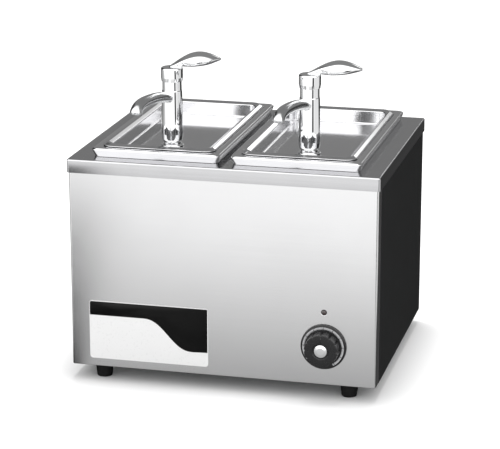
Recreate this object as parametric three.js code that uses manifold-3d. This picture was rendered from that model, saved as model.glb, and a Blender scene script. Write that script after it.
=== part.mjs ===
// Countertop twin-well warmer and dispenser for nacho cheese: a stainless housing with two heated
// wells, each holding a third-size food pan with a recessed lid and a hand pump.
// Millimetres. +X to the right, +Y to the back, +Z up. The origin is the middle of the footprint,
// on the surface that the feet stand on.
import * as THREE from 'three';
import { mergeVertices } from 'three/addons/utils/BufferGeometryUtils.js';
import Module from 'manifold-3d';

const wasm = await Module();
wasm.setup();

// ---------------------------------------------------------------- driving dimensions
const GAP = 0.3; // between pieces that touch
const SHEET = 1.2; // housing sheet metal
const SLIVER = 0.05; // edges shorter than this are merged away

const DECK_W = 427;
const DECK_D = 358;
const FOOT_H = 20;
const HOUSING_H = 290; // from the housing's lower edge to the top of the deck
const DECK_LIP_H = 18.5;
const LIP_OVERHANG = 2;
const CORNER_R = 3.5;

const PAN_X = 96; // each pan's centre line, either side of the middle
const PAN_Y = 3; // pan centre, a little behind the middle
const RIM_W = 178; // a third-size pan over its rim
const RIM_L = 324;
const RIM_H = 12; // the rim stands this high over the deck
const RIM_FLANGE = 12; // from the rim's outer edge to the pan's wall
const PAN_DEPTH = 150;
const PAN_SHEET = 1.2;
const PAN_TAPER = 5; // each wall leans in this much at the bottom
const PAN_CORNER_R = 14;

const LID_RECESS = 5; // the lid's floor lies this far under the deck's top
const LID_SHEET = 1.5;
const LID_EDGE = 10; // the lid's flange starts this far in from the pan's edge
const LID_WALL = 21; // and its wall stands this far in
const LID_BEAD_H = 4.3; // the bead round the flange stands this high over the pan's rim

const WELL_DEPTH = 170;
const WELL_MARGIN = 3; // water gap beside the pan

const PUMP_Y = -70; // pump axis
const SPOUT_TURN = -8; // degrees about Z from straight ahead
const SPOUT_REACH = 118;
const SPOUT_Z = 71; // spout root over the deck
const HANDLE_TURNS = { left: 35, right: 13 }; // degrees about Z from +X
const POST_R = 15; // pump body at its foot
const HEAD_R = 13.8; // and at its head
const HEAD_Z = 78; // top of the pump body over the deck
const STROKE = 12;
const COLLAR_Z = HEAD_Z + STROKE + 0.5; // underside of the handle's collar over the deck
const COLLAR_H = 19.5;
const COLLAR_R = 15;
const NECK_R = 13.2;
const STEM_R = 12.5; // pump body where it passes the lid
const ROD_R = 4;
const HANDLE_L = 70;
const CYLINDER_R = 23;
const CYLINDER_BORE_R = 20;

const KNOB_X = 140.5;
const KNOB_Z = 53.5; // over the housing's lower edge
const SKIRT_R = 31;
const GRIP_R = 23;
const PILOT_Z = 101;
const DECAL = { x: -102, z: 52.5, w: 167, h: 82.5 };

const FOOT_X = 172;
const FOOT_FRONT_Y = -156;
const FOOT_BACK_Y = 156;

// ---------------------------------------------------------------- derived dimensions
const BASE_Z = FOOT_H;
const DECK_Z = BASE_Z + HOUSING_H;
const FRONT_Y = -DECK_D / 2 + LIP_OVERHANG; // outer face of the front panel
const BACK_Y = DECK_D / 2 - LIP_OVERHANG;
const SIDE_X = DECK_W / 2 - LIP_OVERHANG;
const PANEL_TOP = DECK_Z - SHEET - GAP - 2;
const RIM_Z = DECK_Z + RIM_H; // top of the pan's rim
const PAN_W = RIM_W - 2 * RIM_FLANGE; // pan wall, outside, at the rim
const PAN_L = RIM_L - 2 * RIM_FLANGE;
const WELL_W = PAN_W + 2 * WELL_MARGIN;
const WELL_L = PAN_L + 2 * WELL_MARGIN;
const WELL_FLOOR = DECK_Z - WELL_DEPTH;
const LID_Z = DECK_Z - LID_RECESS; // top of the lid's floor

// ---------------------------------------------------------------- materials
const steel = (color, roughness, metalness = 1) =>
  new THREE.MeshStandardMaterial({ color, roughness, metalness });
const brushed = steel(0xb9babb, 0.35);
const polished = steel(0xc6c7c9, 0.2);
const chrome = steel(0xe6e7e9, 0.06);
const painted = new THREE.MeshStandardMaterial({ color: 0x34363a, roughness: 0.45, metalness: 0.2 });
const zinc = steel(0x9a9da0, 0.5);
const rubber = new THREE.MeshStandardMaterial({ color: 0x161616, roughness: 0.85, metalness: 0 });
const plastic = new THREE.MeshStandardMaterial({ color: 0x1a1a1c, roughness: 0.4, metalness: 0 });
const lensMaterial = new THREE.MeshStandardMaterial({ color: 0x240505, roughness: 0.2, metalness: 0 });
const decalMaterial = new THREE.MeshStandardMaterial({ color: 0xf1f1f0, roughness: 0.4, metalness: 0 });
const nylon = new THREE.MeshStandardMaterial({ color: 0xe8e4da, roughness: 0.55, metalness: 0 });
const copper = steel(0xb87650, 0.35);

// ---------------------------------------------------------------- solids from three.js shapes
// Returns the geometry as one closed mesh: shared corners merged, no empty faces, faces outward.
function closed(geometry) {
  const plain = geometry.clone();
  plain.deleteAttribute('normal');
  plain.deleteAttribute('uv');
  const merged = mergeVertices(plain, 1e-4);
  const position = merged.getAttribute('position');
  const index = merged.getIndex().array;
  const kept = [];
  const a = new THREE.Vector3();
  const b = new THREE.Vector3();
  const c = new THREE.Vector3();
  let volume = 0;
  for (let i = 0; i < index.length; i += 3) {
    const [p, q, r] = [index[i], index[i + 1], index[i + 2]];
    if (p === q || q === r || r === p) continue;
    kept.push(p, q, r);
    a.fromBufferAttribute(position, p);
    b.fromBufferAttribute(position, q);
    c.fromBufferAttribute(position, r);
    volume += a.dot(b.cross(c));
  }
  if (volume < 0) kept.reverse();
  merged.setIndex(kept);
  return merged;
}

function manifoldOf(geometry) {
  const solid = closed(geometry);
  const mesh = new wasm.Mesh({
    numProp: 3,
    vertProperties: new Float32Array(solid.getAttribute('position').array),
    triVerts: new Uint32Array(solid.getIndex().array),
  });
  return new wasm.Manifold(mesh);
}

function geometryOf(manifold) {
  const mesh = manifold.simplify(SLIVER).getMesh();
  const geometry = new THREE.BufferGeometry();
  geometry.setAttribute('position', new THREE.BufferAttribute(new Float32Array(mesh.vertProperties), 3));
  geometry.setIndex(new THREE.BufferAttribute(new Uint32Array(mesh.triVerts), 1));
  return geometry;
}

const join = (first, ...others) =>
  geometryOf(others.reduce((sum, other) => sum.add(manifoldOf(other)), manifoldOf(first)));

const cut = (first, ...others) =>
  geometryOf(others.reduce((sum, other) => sum.subtract(manifoldOf(other)), manifoldOf(first)));

const moved = (geometry, x, y, z) => geometry.clone().translate(x, y, z);

// A rectangle with round corners, centred on the origin unless x and y say otherwise.
function roundedRect(w, d, radius, x = 0, y = 0, Outline = THREE.Shape) {
  const r = Math.max(0.05, radius);
  const [left, right, front, back] = [x - w / 2, x + w / 2, y - d / 2, y + d / 2];
  const outline = new Outline();
  outline.moveTo(left + r, front);
  outline.lineTo(right - r, front);
  outline.absarc(right - r, front + r, r, -Math.PI / 2, 0);
  outline.lineTo(right, back - r);
  outline.absarc(right - r, back - r, r, 0, Math.PI / 2);
  outline.lineTo(left + r, back);
  outline.absarc(left + r, back - r, r, Math.PI / 2, Math.PI);
  outline.lineTo(left, front + r);
  outline.absarc(left + r, front + r, r, Math.PI, 1.5 * Math.PI);
  return outline;
}

function circle(r, x = 0, y = 0, Outline = THREE.Path) {
  const outline = new Outline();
  outline.absarc(x, y, r, 0, 2 * Math.PI);
  return outline;
}

// An outline in X and Y pushed up from z0 to z1.
function slab(shape, z0, z1, holes = [], curveSegments = 3) {
  shape.holes.push(...holes);
  const depth = z1 - z0;
  return new THREE.ExtrudeGeometry(shape, { depth, bevelEnabled: false, curveSegments }).translate(0, 0, z0);
}

// A rectangular ring of wall between z0 and z1.
const ringWall = (w, d, radius, wall, z0, z1, segments = 3) =>
  slab(
    roundedRect(w, d, radius),
    z0,
    z1,
    [roundedRect(w - 2 * wall, d - 2 * wall, radius - wall, 0, 0, THREE.Path)],
    segments,
  );

// A profile of [radius, height] points turned about Z.
const turned = (profile, segments = 24) =>
  new THREE.LatheGeometry(profile.map(([r, z]) => new THREE.Vector2(r, z)), segments).rotateX(Math.PI / 2);

const rod = (r, z0, z1, segments = 20) =>
  turned([[0, z0], [r, z0], [r, z1], [0, z1]], segments);

// A rod along Y from y0 to y1 (y0 < y1).
const rodY = (r, x, y0, y1, z, segments = 16) =>
  rod(r, y0, y1, segments).rotateX(-Math.PI / 2).translate(x, 0, z);

const block = (w, d, h, x, y, z) => new THREE.BoxGeometry(w, d, h).translate(x, y, z);

// A skin over rings of points, each ring with the same number of points, closed at both ends.
function lofted(rings) {
  const count = rings[0].length;
  const points = rings.flat();
  const faces = [];
  for (let i = 0; i < rings.length - 1; i += 1) {
    for (let j = 0; j < count; j += 1) {
      const k = (j + 1) % count;
      const [a, b, c, d] = [i * count + j, i * count + k, (i + 1) * count + k, (i + 1) * count + j];
      faces.push(a, b, c, a, c, d);
    }
  }
  const capPlane = (ring, start, flip) => {
    const centre = ring.reduce((sum, p) => sum.add(p), new THREE.Vector3()).divideScalar(count);
    points.push(centre);
    const middle = points.length - 1;
    for (let j = 0; j < count; j += 1) {
      const k = (j + 1) % count;
      faces.push(...(flip ? [middle, start + k, start + j] : [middle, start + j, start + k]));
    }
  };
  capPlane(rings[0], 0, true);
  capPlane(rings.at(-1), (rings.length - 1) * count, false);
  const geometry = new THREE.BufferGeometry().setFromPoints(points);
  geometry.setIndex(faces);
  return geometry;
}

// A rounded rectangle as a ring of points at height z.
const rectRing = (w, d, radius, z) =>
  roundedRect(w, d, radius)
    .getPoints(3)
    .slice(0, -1)
    .map((p) => new THREE.Vector3(p.x, p.y, z));

// A round section swept along a curve.
function swept(curve, radius, steps, sides) {
  const section = circle(radius, 0, 0, THREE.Shape);
  return new THREE.ExtrudeGeometry(section, {
    steps,
    curveSegments: sides,
    bevelEnabled: false,
    extrudePath: curve,
  });
}

// ---------------------------------------------------------------- the assembly
const dispenser = new THREE.Group();

function add(parent, name, geometry, material) {
  const mesh = new THREE.Mesh(closed(geometry), material);
  mesh.name = name;
  parent.add(mesh);
  return mesh;
}

// ---------------------------------------------------------------- housing
function topDeck() {
  const cutouts = [-PAN_X, PAN_X].map((x) => roundedRect(WELL_W, WELL_L, PAN_CORNER_R, x, PAN_Y, THREE.Path));
  const top = slab(roundedRect(DECK_W, DECK_D, CORNER_R), DECK_Z - SHEET, DECK_Z, cutouts);
  const lip = ringWall(DECK_W, DECK_D, CORNER_R, SHEET, DECK_Z - DECK_LIP_H, DECK_Z - SHEET / 2);
  return join(top, lip);
}

const WRAP_RETURN = 22; // the front panel's flange along each side

function frontPanel() {
  const [x, r, t] = [SIDE_X, CORNER_R, SHEET];
  const back = FRONT_Y + WRAP_RETURN;
  const outline = new THREE.Shape();
  outline.moveTo(-x, back);
  outline.lineTo(-x, FRONT_Y + r);
  outline.absarc(-x + r, FRONT_Y + r, r, Math.PI, 1.5 * Math.PI);
  outline.lineTo(x - r, FRONT_Y);
  outline.absarc(x - r, FRONT_Y + r, r, -Math.PI / 2, 0);
  outline.lineTo(x, back);
  outline.lineTo(x - t, back);
  outline.lineTo(x - t, FRONT_Y + r);
  outline.absarc(x - r, FRONT_Y + r, r - t, 0, -Math.PI / 2, true);
  outline.lineTo(-x + r, FRONT_Y + t);
  outline.absarc(-x + r, FRONT_Y + r, r - t, 1.5 * Math.PI, Math.PI, true);
  outline.lineTo(-x + t, back);
  const channel = slab(outline, BASE_Z, PANEL_TOP);
  const [y0, y1] = [FRONT_Y - 2, FRONT_Y + 4];
  const shaftHole = rodY(4.2, KNOB_X, y0, y1, BASE_Z + KNOB_Z);
  const pilotHole = rodY(3.6, KNOB_X, y0, y1, BASE_Z + PILOT_Z, 16);
  return cut(channel, shaftHole, pilotHole);
}

const SIDE_FRONT = FRONT_Y + WRAP_RETURN + GAP;
const SIDE_BACK = BACK_Y - SHEET - GAP;

const PANEL_FLANGE = 9;

// A side panel with its upper edge turned in.
function sidePanel(side) {
  const [outer, inner, edge] = [SIDE_X, SIDE_X - SHEET, SIDE_X - PANEL_FLANGE].map((x) => side * x);
  const corners = [
    [outer, BASE_Z],
    [outer, PANEL_TOP],
    [edge, PANEL_TOP],
    [edge, PANEL_TOP - SHEET],
    [inner, PANEL_TOP - SHEET],
    [inner, BASE_Z],
  ];
  const outline = new THREE.Shape(corners.map(([x, z]) => new THREE.Vector2(x, z)));
  return slab(outline, -SIDE_BACK, -SIDE_FRONT).rotateX(Math.PI / 2);
}

const GLAND = { x: -150, z: 42 };
const SCREW_Z = [PANEL_TOP - 24, BASE_Z + 34];
const SCREW_X = SIDE_X - 16;

function backPanel() {
  const y = BACK_Y - SHEET / 2;
  const panel = block(2 * SIDE_X - 2 * GAP, SHEET, PANEL_TOP - BASE_Z, 0, y, (PANEL_TOP + BASE_Z) / 2);
  const vents = [];
  for (let row = 0; row < 4; row += 1) {
    for (const x of [-60, 0, 60]) vents.push(block(44, 8, 5, x, y, BASE_Z + 150 + 16 * row));
  }
  const glandHole = rodY(8.3, GLAND.x, y - 4, y + 4, BASE_Z + GLAND.z);
  const screwHoles = SCREW_Z.flatMap((z) => [-SCREW_X, SCREW_X].map((x) => rodY(2.3, x, y - 4, y + 4, z, 12)));
  return cut(panel, ...vents, glandHole, ...screwHoles);
}

function basePan() {
  const w = 2 * (SIDE_X - SHEET - GAP);
  const d = 2 * (BACK_Y - SHEET - GAP);
  const feet = footPlaces().map(([x, y]) => circle(2.6, x, y));
  const vents = [];
  for (let i = -4; i <= 4; i += 1) vents.push(roundedRect(8, 70, 0, i * 24, 0, THREE.Path));
  const floor = slab(roundedRect(w, d, 2.5), BASE_Z, BASE_Z + SHEET, [...feet, ...vents]);
  const edge = ringWall(w, d, 2.5, SHEET, BASE_Z + SHEET / 2, BASE_Z + 16);
  return join(floor, edge);
}

function footPlaces() {
  return [FOOT_FRONT_Y, FOOT_BACK_Y].flatMap((y) => [-FOOT_X, FOOT_X].map((x) => [x, y]));
}

const footShape = () =>
  turned([[5, 0], [10.5, 0], [12.5, 19.7], [2.6, 19.7], [2.6, 8], [5, 8], [5, 0]], 16);

const footScrew = () =>
  turned([[0, 4.2], [4.6, 4.2], [4.6, 7.7], [2.2, 7.7], [2.2, 29], [0, 29]], 8);

const panelScrew = () =>
  turned([[0, -9], [2, -9], [2, 0.3], [3.8, 0.3], [3.3, 1.9], [1.6, 2.5], [0, 2.5]], 8).rotateX(-Math.PI / 2);

const WELL_FLANGE = 12;

// An open water well that hangs by its flange under the deck.
function wellLiner() {
  const [w, d, r] = [WELL_W, WELL_L, PAN_CORNER_R];
  const top = DECK_Z - SHEET - GAP;
  const out = (step) => roundedRect(w + 2 * step, d + 2 * step, r + step);
  const body = slab(out(SHEET), WELL_FLOOR - SHEET, top - SHEET / 2);
  const flange = slab(out(WELL_FLANGE), top - SHEET, top);
  return cut(join(body, flange), slab(out(0), WELL_FLOOR, top + SHEET));
}

const HEATER_R = 4;

// Centre line of four passes of tubular element under a well, with both ends at the front.
function heaterPath() {
  const [half, turn, end] = [115, 17, 128];
  const path = new THREE.CurvePath();
  const at = (x, y) => new THREE.Vector3(x, y, 0);
  const passes = [-3, -1, 1, 3].map((i) => i * turn);
  path.add(new THREE.LineCurve3(at(passes[0], -end), at(passes[0], half)));
  for (let i = 0; i < 3; i += 1) {
    const side = i % 2 === 0 ? 1 : -1;
    const [x0, x1] = [passes[i], passes[i + 1]];
    const middle = (x0 + x1) / 2;
    for (let k = 0; k < 6; k += 1) {
      const [a, b] = [k, k + 1].map((n) => Math.PI - (n * Math.PI) / 6);
      const on = (t) => at(middle + turn * Math.cos(t), side * (half + turn * Math.sin(t)));
      path.add(new THREE.LineCurve3(on(a), on(b)));
    }
    const stop = i === 2 ? -end : -side * half;
    path.add(new THREE.LineCurve3(at(x1, side * half), at(x1, stop)));
  }
  return path;
}

// ---------------------------------------------------------------- controls
const THERMO_Y = FRONT_Y + SHEET + GAP;

function thermostatBody() {
  const z = BASE_Z + KNOB_Z;
  const boss = rodY(9, KNOB_X, THERMO_Y, THERMO_Y + 6, z);
  const body = block(46, 26, 38, KNOB_X, THERMO_Y + 18, z);
  const blades = [-12, 12].map((x) => block(1, 12, 6, KNOB_X + x, THERMO_Y + 35, z));
  const shaftHole = rodY(3.4, KNOB_X, THERMO_Y - 2, THERMO_Y + 20, z);
  return cut(join(boss, body, ...blades), shaftHole);
}

// Bulb clipped between the wells, with its capillary back to the thermostat.
function sensorBulb() {
  const [x, y, z] = [KNOB_X - 4, THERMO_Y + 31, BASE_Z + KNOB_Z];
  const capillary = new THREE.CatmullRomCurve3([
    new THREE.Vector3(x, y + GAP, z),
    new THREE.Vector3(x, y + 14, z),
    new THREE.Vector3(80, -85, z),
    new THREE.Vector3(20, -70, z + 14),
    new THREE.Vector3(0, -60, z + 50),
    new THREE.Vector3(0, -45, z + 86),
    new THREE.Vector3(0, -25, z + 90),
  ]);
  const bulb = rodY(4.5, 0, -26, 50, z + 90, 16);
  return join(swept(capillary, 1.3, 26, 2), bulb);
}

function terminalBlock() {
  const base = block(64, 22, 12, 0, 0, 0);
  const ribs = [-26, -13, 0, 13, 26].map((x) => block(2, 22, 9, x, 0, 10));
  return join(base, ...ribs);
}

// The skirt and the fluted grip, facing +Z.
function knob() {
  const skirt = turned([[0, 0], [SKIRT_R, 0], [SKIRT_R, 1.5], [SKIRT_R - 1.5, 3], [GRIP_R + 1, 4], [0, 4]], 28);
  const grip = turned([[0, 3], [GRIP_R, 3], [GRIP_R - 0.6, 18], [GRIP_R - 2.6, 20.5], [0, 20.5]], 28);
  const flutes = [];
  for (let i = 0; i < 12; i += 1) {
    const angle = (i * Math.PI) / 6;
    const reach = GRIP_R + 1.4;
    flutes.push(rod(3, 5, 30, 6).translate(reach * Math.cos(angle), reach * Math.sin(angle), 0));
  }
  const shaftHole = rod(3.3, -1, 12, 16);
  const capSeat = rod(10.3, 19.2, 30, 20);
  return cut(join(skirt, grip), ...flutes, shaftHole, capSeat);
}

// ---------------------------------------------------------------- pans and lids
function pan() {
  const z = (h) => RIM_Z + h;
  const r = PAN_CORNER_R;
  const outside = lofted([
    rectRing(PAN_W - 2 * PAN_TAPER, PAN_L - 2 * PAN_TAPER, r + 4, z(-PAN_DEPTH)),
    rectRing(PAN_W, PAN_L, r, z(-RIM_H)),
    rectRing(PAN_W, PAN_L, r, z(-0.1)),
  ]);
  const flange = lofted([
    rectRing(RIM_W - 6, RIM_L - 6, 4, z(-RIM_H + GAP)),
    rectRing(RIM_W, RIM_L, 7, z(-2)),
    rectRing(RIM_W - 3, RIM_L - 3, 6, z(0)),
  ]);
  const t = PAN_SHEET;
  const under = lofted([
    rectRing(RIM_W - 6 - 2 * t, RIM_L - 6 - 2 * t, 3, z(-RIM_H - 2)),
    rectRing(RIM_W - 2 * t - 1, RIM_L - 2 * t - 1, 6, z(-2 - t)),
    rectRing(RIM_W - 3 - 2 * t, RIM_L - 3 - 2 * t, 5, z(-t)),
  ]);
  const inside = lofted([
    rectRing(PAN_W - 2 * PAN_TAPER - 2 * t, PAN_L - 2 * PAN_TAPER - 2 * t, r + 3, z(-PAN_DEPTH + t)),
    rectRing(PAN_W - 2 * t, PAN_L - 2 * t, r - t, z(-RIM_H)),
    rectRing(PAN_W - 2 * t, PAN_L - 2 * t, r - t, z(5)),
  ]);
  return cut(join(cut(flange, under), outside), inside);
}

// A sheet recessed in the pan, with a bead pressed up all round where it leaves the rim.
function lid() {
  const at = (inset, r, z) => rectRing(RIM_W - 2 * inset, RIM_L - 2 * inset, r, z);
  const r = PAN_CORNER_R - 5;
  const t = LID_SHEET;
  const low = RIM_Z + GAP; // underside of the flange
  const bead = RIM_Z + LID_BEAD_H;
  const outside = lofted([
    at(LID_WALL, r + 1, LID_Z - t),
    at(LID_WALL, r + 1, low),
    at(LID_EDGE, r + 7, low),
    at(LID_EDGE, r + 7, low + t),
    at(LID_EDGE + 2, r + 6, low + t),
    at(LID_EDGE + 5.5, r + 4, bead),
  ]);
  const inside = lofted([
    at(LID_WALL + t, r, LID_Z),
    at(LID_WALL + t, r, low + 0.3),
    at(LID_EDGE + 7.5, r + 3, bead),
    at(LID_EDGE + 7.5, r + 3, bead + 5),
  ]);
  const hole = rod(STEM_R + GAP, LID_Z - 10, LID_Z + 10).translate(0, PUMP_Y - PAN_Y, 0);
  return cut(outside, inside, hole);
}

// ---------------------------------------------------------------- pump
const H = (z) => DECK_Z + z;
const COLLAR_TOP = LID_Z + GAP + 7; // top of the lock collar on the lid
const STEM_END = LID_Z - 9;
const FLANGE_R = 14.5; // the foot of the stem, which keeps the body in the lid
const LOCK_R = 15.6;

const lockCollar = () =>
  turned(
    [
      [STEM_R + GAP, LID_Z + GAP],
      [LOCK_R, LID_Z + GAP],
      [LOCK_R, COLLAR_TOP - 1.2],
      [LOCK_R - 1.2, COLLAR_TOP],
      [STEM_R + GAP, COLLAR_TOP],
      [STEM_R + GAP, LID_Z + GAP],
    ],
    24,
  );

const GUIDE_Z = H(HEAD_Z - 6); // wall that guides the rod

// The body that stands on the lid, bored for the rod, with a lug on its side to turn it by.
function pumpBody() {
  const outer = turned(
    [
      [0, STEM_END],
      [FLANGE_R, STEM_END],
      [FLANGE_R, LID_Z - LID_SHEET - 3.3],
      [STEM_R, LID_Z - LID_SHEET - 3.3],
      [STEM_R, COLLAR_TOP + 0.6],
      [STEM_R - 0.5, COLLAR_TOP + 4],
      [POST_R - 1.4, COLLAR_TOP + 6.5],
      [POST_R - 0.3, COLLAR_TOP + 10.5],
      [POST_R, COLLAR_TOP + 15],
      [HEAD_R, H(HEAD_Z - 1)],
      [NECK_R, H(HEAD_Z)],
      [NECK_R, H(COLLAR_Z + 1.2)],
      [0, H(COLLAR_Z + 1.2)],
    ],
    24,
  );
  const lug = block(9.5, 5, 36, -(POST_R + 3.2), 4, H(36));
  const flow = rod(9.5, STEM_END - 1, GUIDE_Z, 16);
  const guide = rod(ROD_R + GAP, GUIDE_Z - 1, H(HEAD_Z + 20), 16);
  const pocket = rod(9.5, GUIDE_Z + 3, H(HEAD_Z + 20), 16);
  const port = rod(5, 0, 30, 12).rotateX(Math.PI / 2).translate(0, 0, H(SPOUT_Z - 4));
  const screwHole = rod(2.3, 0, 30, 8).rotateX(Math.PI / 2).translate(0, 0, H(18.5));
  return cut(join(outer, lug), flow, guide, pocket, port, screwHole);
}

// Centre line of the spout in its own plane, going forward along -Y, as [reach, height].
const SPOUT_LINE = [
  [8, SPOUT_Z - 4],
  [24, SPOUT_Z + 1],
  [48, SPOUT_Z + 5.5],
  [76, SPOUT_Z + 8],
  [98, SPOUT_Z + 8],
  [110, SPOUT_Z + 5.5],
  [116, SPOUT_Z + 1.5],
  [SPOUT_REACH, SPOUT_Z - 2],
];

// Rings round a line like the spout's; grow says how the radius changes along it.
function spoutSkin(line, grow, steps, sides) {
  const curve = new THREE.CatmullRomCurve3(line.map(([reach, z]) => new THREE.Vector3(0, -reach, H(z))));
  const rings = [];
  for (let i = 0; i <= steps; i += 1) {
    const t = i / steps;
    const centre = curve.getPoint(t);
    const along = curve.getTangent(t);
    const across = new THREE.Vector3(1, 0, 0);
    const up = new THREE.Vector3().crossVectors(across, along);
    const r = grow(t);
    const ring = [];
    for (let j = 0; j < sides; j += 1) {
      const angle = (2 * Math.PI * j) / sides;
      const offset = across.clone().multiplyScalar(r * Math.cos(angle)).addScaledVector(up, r * Math.sin(angle));
      ring.push(centre.clone().add(offset));
    }
    rings.push(ring);
  }
  return lofted(rings);
}

function spout() {
  const skin = spoutSkin(SPOUT_LINE, (t) => 6.8 + 1.6 * t, 13, 12);
  const bore = spoutSkin([...SPOUT_LINE, [SPOUT_REACH, SPOUT_Z - 10]], (t) => 4.4 + 1.2 * t, 14, 8);
  const post = rod(HEAD_R + 2 * GAP, H(0), H(HEAD_Z + 20), 24);
  return cut(skin, bore, post);
}

const WING_START = -3; // the palm rest begins this far along from the pump's axis
const WING_T = 2.2; // its wall

// Half width, crown height and edge height of the palm rest at s, from 0 at its nose to 1 at its tail.
function wingSection(s) {
  return {
    half: 4 + 11.5 * Math.abs(Math.sin(Math.PI * s ** 1.15)) ** 0.8,
    crown: 1.5 + 16.5 * Math.sin(Math.PI * 0.86 * s) ** 1.2,
    edge: -0.5 + 5 * s ** 4,
  };
}

// Rings of a dome like the palm rest's, a wall smaller all round; drop takes its flat side lower.
function wingRings(places, wall, drop) {
  const sides = 10;
  return places.map((s) => {
    const { half, crown, edge } = wingSection(s);
    const width = half - wall;
    const rise = crown - wall - edge;
    const reach = WING_START + (HANDLE_L - WING_START) * s;
    const section = [];
    for (let j = 0; j <= sides; j += 1) {
      const angle = (Math.PI * j) / sides;
      section.push([width * Math.cos(angle), edge + rise * Math.sin(angle) ** 0.8]);
    }
    if (drop > 0) section.push([-width, edge - drop], [width, edge - drop]);
    return section.map(([y, z]) => new THREE.Vector3(reach, y, z));
  });
}

// The palm rest: a domed wing, hollow below, that rises from the collar, widens and falls to a tail.
function palmRest() {
  const outside = lofted(wingRings([0, 0.08, 0.18, 0.3, 0.42, 0.54, 0.66, 0.78, 0.88, 0.95, 1], 0, 0));
  const hollow = lofted(wingRings([0.12, 0.22, 0.34, 0.46, 0.58, 0.7, 0.82, 0.96], WING_T, 1));
  return cut(outside, hollow);
}

const COLLAR_TOP_Z = H(COLLAR_Z + COLLAR_H);

// Collar and palm rest in one casting, bored from below for the rod, the neck and the spring.
function pumpHandle() {
  const collar = turned(
    [
      [0, H(COLLAR_Z)],
      [COLLAR_R - 0.7, H(COLLAR_Z)],
      [COLLAR_R, H(COLLAR_Z + 4)],
      [COLLAR_R, COLLAR_TOP_Z - 2],
      [COLLAR_R - 2, COLLAR_TOP_Z],
      [0, COLLAR_TOP_Z],
    ],
    24,
  );
  const stem = rod(6, COLLAR_TOP_Z - 2, COLLAR_TOP_Z + 4, 16).translate(4, 0, 0);
  const wing = palmRest().translate(0, 0, COLLAR_TOP_Z);
  const pocket = rod(NECK_R + 0.5, H(COLLAR_Z - 5), COLLAR_TOP_Z - 5, 24);
  const rodSeat = rod(ROD_R + GAP, H(COLLAR_Z), COLLAR_TOP_Z - 1.5, 16);
  return cut(join(collar, stem, wing), pocket, rodSeat);
}

const PISTON_Z = 215;
const BALL_R = 6.5;
const FOOT_FLOOR = 184; // seat of the intake ball

function returnSpring() {
  const [bottom, top] = [GUIDE_Z + 4.4, COLLAR_TOP_Z - 6.4];
  const [turns, perTurn, r] = [5, 10, 7.3];
  const points = [];
  for (let i = 0; i <= turns * perTurn; i += 1) {
    const angle = (2 * Math.PI * i) / perTurn;
    const z = bottom + ((top - bottom) * i) / (turns * perTurn);
    points.push(new THREE.Vector3(r * Math.cos(angle), r * Math.sin(angle), z));
  }
  return swept(new THREE.CatmullRomCurve3(points), 0.8, turns * perTurn, 2);
}

const CYLINDER_TOP = LID_Z - LID_SHEET - GAP;

const pumpCylinder = () =>
  turned(
    [
      [STEM_R + GAP, CYLINDER_TOP],
      [27, CYLINDER_TOP],
      [27, CYLINDER_TOP - 2.4],
      [CYLINDER_R, CYLINDER_TOP - 2.4],
      [CYLINDER_R, FOOT_FLOOR + GAP],
      [CYLINDER_BORE_R, FOOT_FLOOR + GAP],
      [CYLINDER_BORE_R, CYLINDER_TOP - 2.7],
      [STEM_R + GAP, CYLINDER_TOP - 2.7],
      [STEM_R + GAP, CYLINDER_TOP],
    ],
    24,
  );

function intakeFoot() {
  const r = CYLINDER_R + GAP;
  const cup = turned(
    [
      [5, FOOT_FLOOR - 4],
      [18, FOOT_FLOOR - 4],
      [18, FOOT_FLOOR - 7.5],
      [r + 2.5, FOOT_FLOOR - 7.5],
      [r + 2.5, FOOT_FLOOR + 8],
      [r, FOOT_FLOOR + 8],
      [r, FOOT_FLOOR],
      [5, FOOT_FLOOR],
      [5, FOOT_FLOOR - 4],
    ],
    24,
  );
  const notches = [0, 60, 120].map((angle) =>
    block(80, 10, 6, 0, 0, FOOT_FLOOR - 7.2).rotateZ((angle * Math.PI) / 180),
  );
  return cut(cup, ...notches);
}

const piston = () =>
  turned(
    [
      [ROD_R + GAP, PISTON_Z],
      [19.3, PISTON_Z],
      [19.3, PISTON_Z + 4],
      [16, PISTON_Z + 4],
      [16, PISTON_Z + 8],
      [19.3, PISTON_Z + 8],
      [19.3, PISTON_Z + 12],
      [ROD_R + GAP, PISTON_Z + 12],
      [ROD_R + GAP, PISTON_Z],
    ],
    24,
  );

const pistonSeal = () =>
  turned(
    [
      [16.3, PISTON_Z + 4.3],
      [19.6, PISTON_Z + 4.3],
      [19.6, PISTON_Z + 7.7],
      [16.3, PISTON_Z + 7.7],
      [16.3, PISTON_Z + 4.3],
    ],
    24,
  );

const intakeBall = () =>
  new THREE.SphereGeometry(BALL_R, 12, 8).translate(0, 0, FOOT_FLOOR + Math.sqrt(BALL_R ** 2 - 25) + 0.5);

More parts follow.
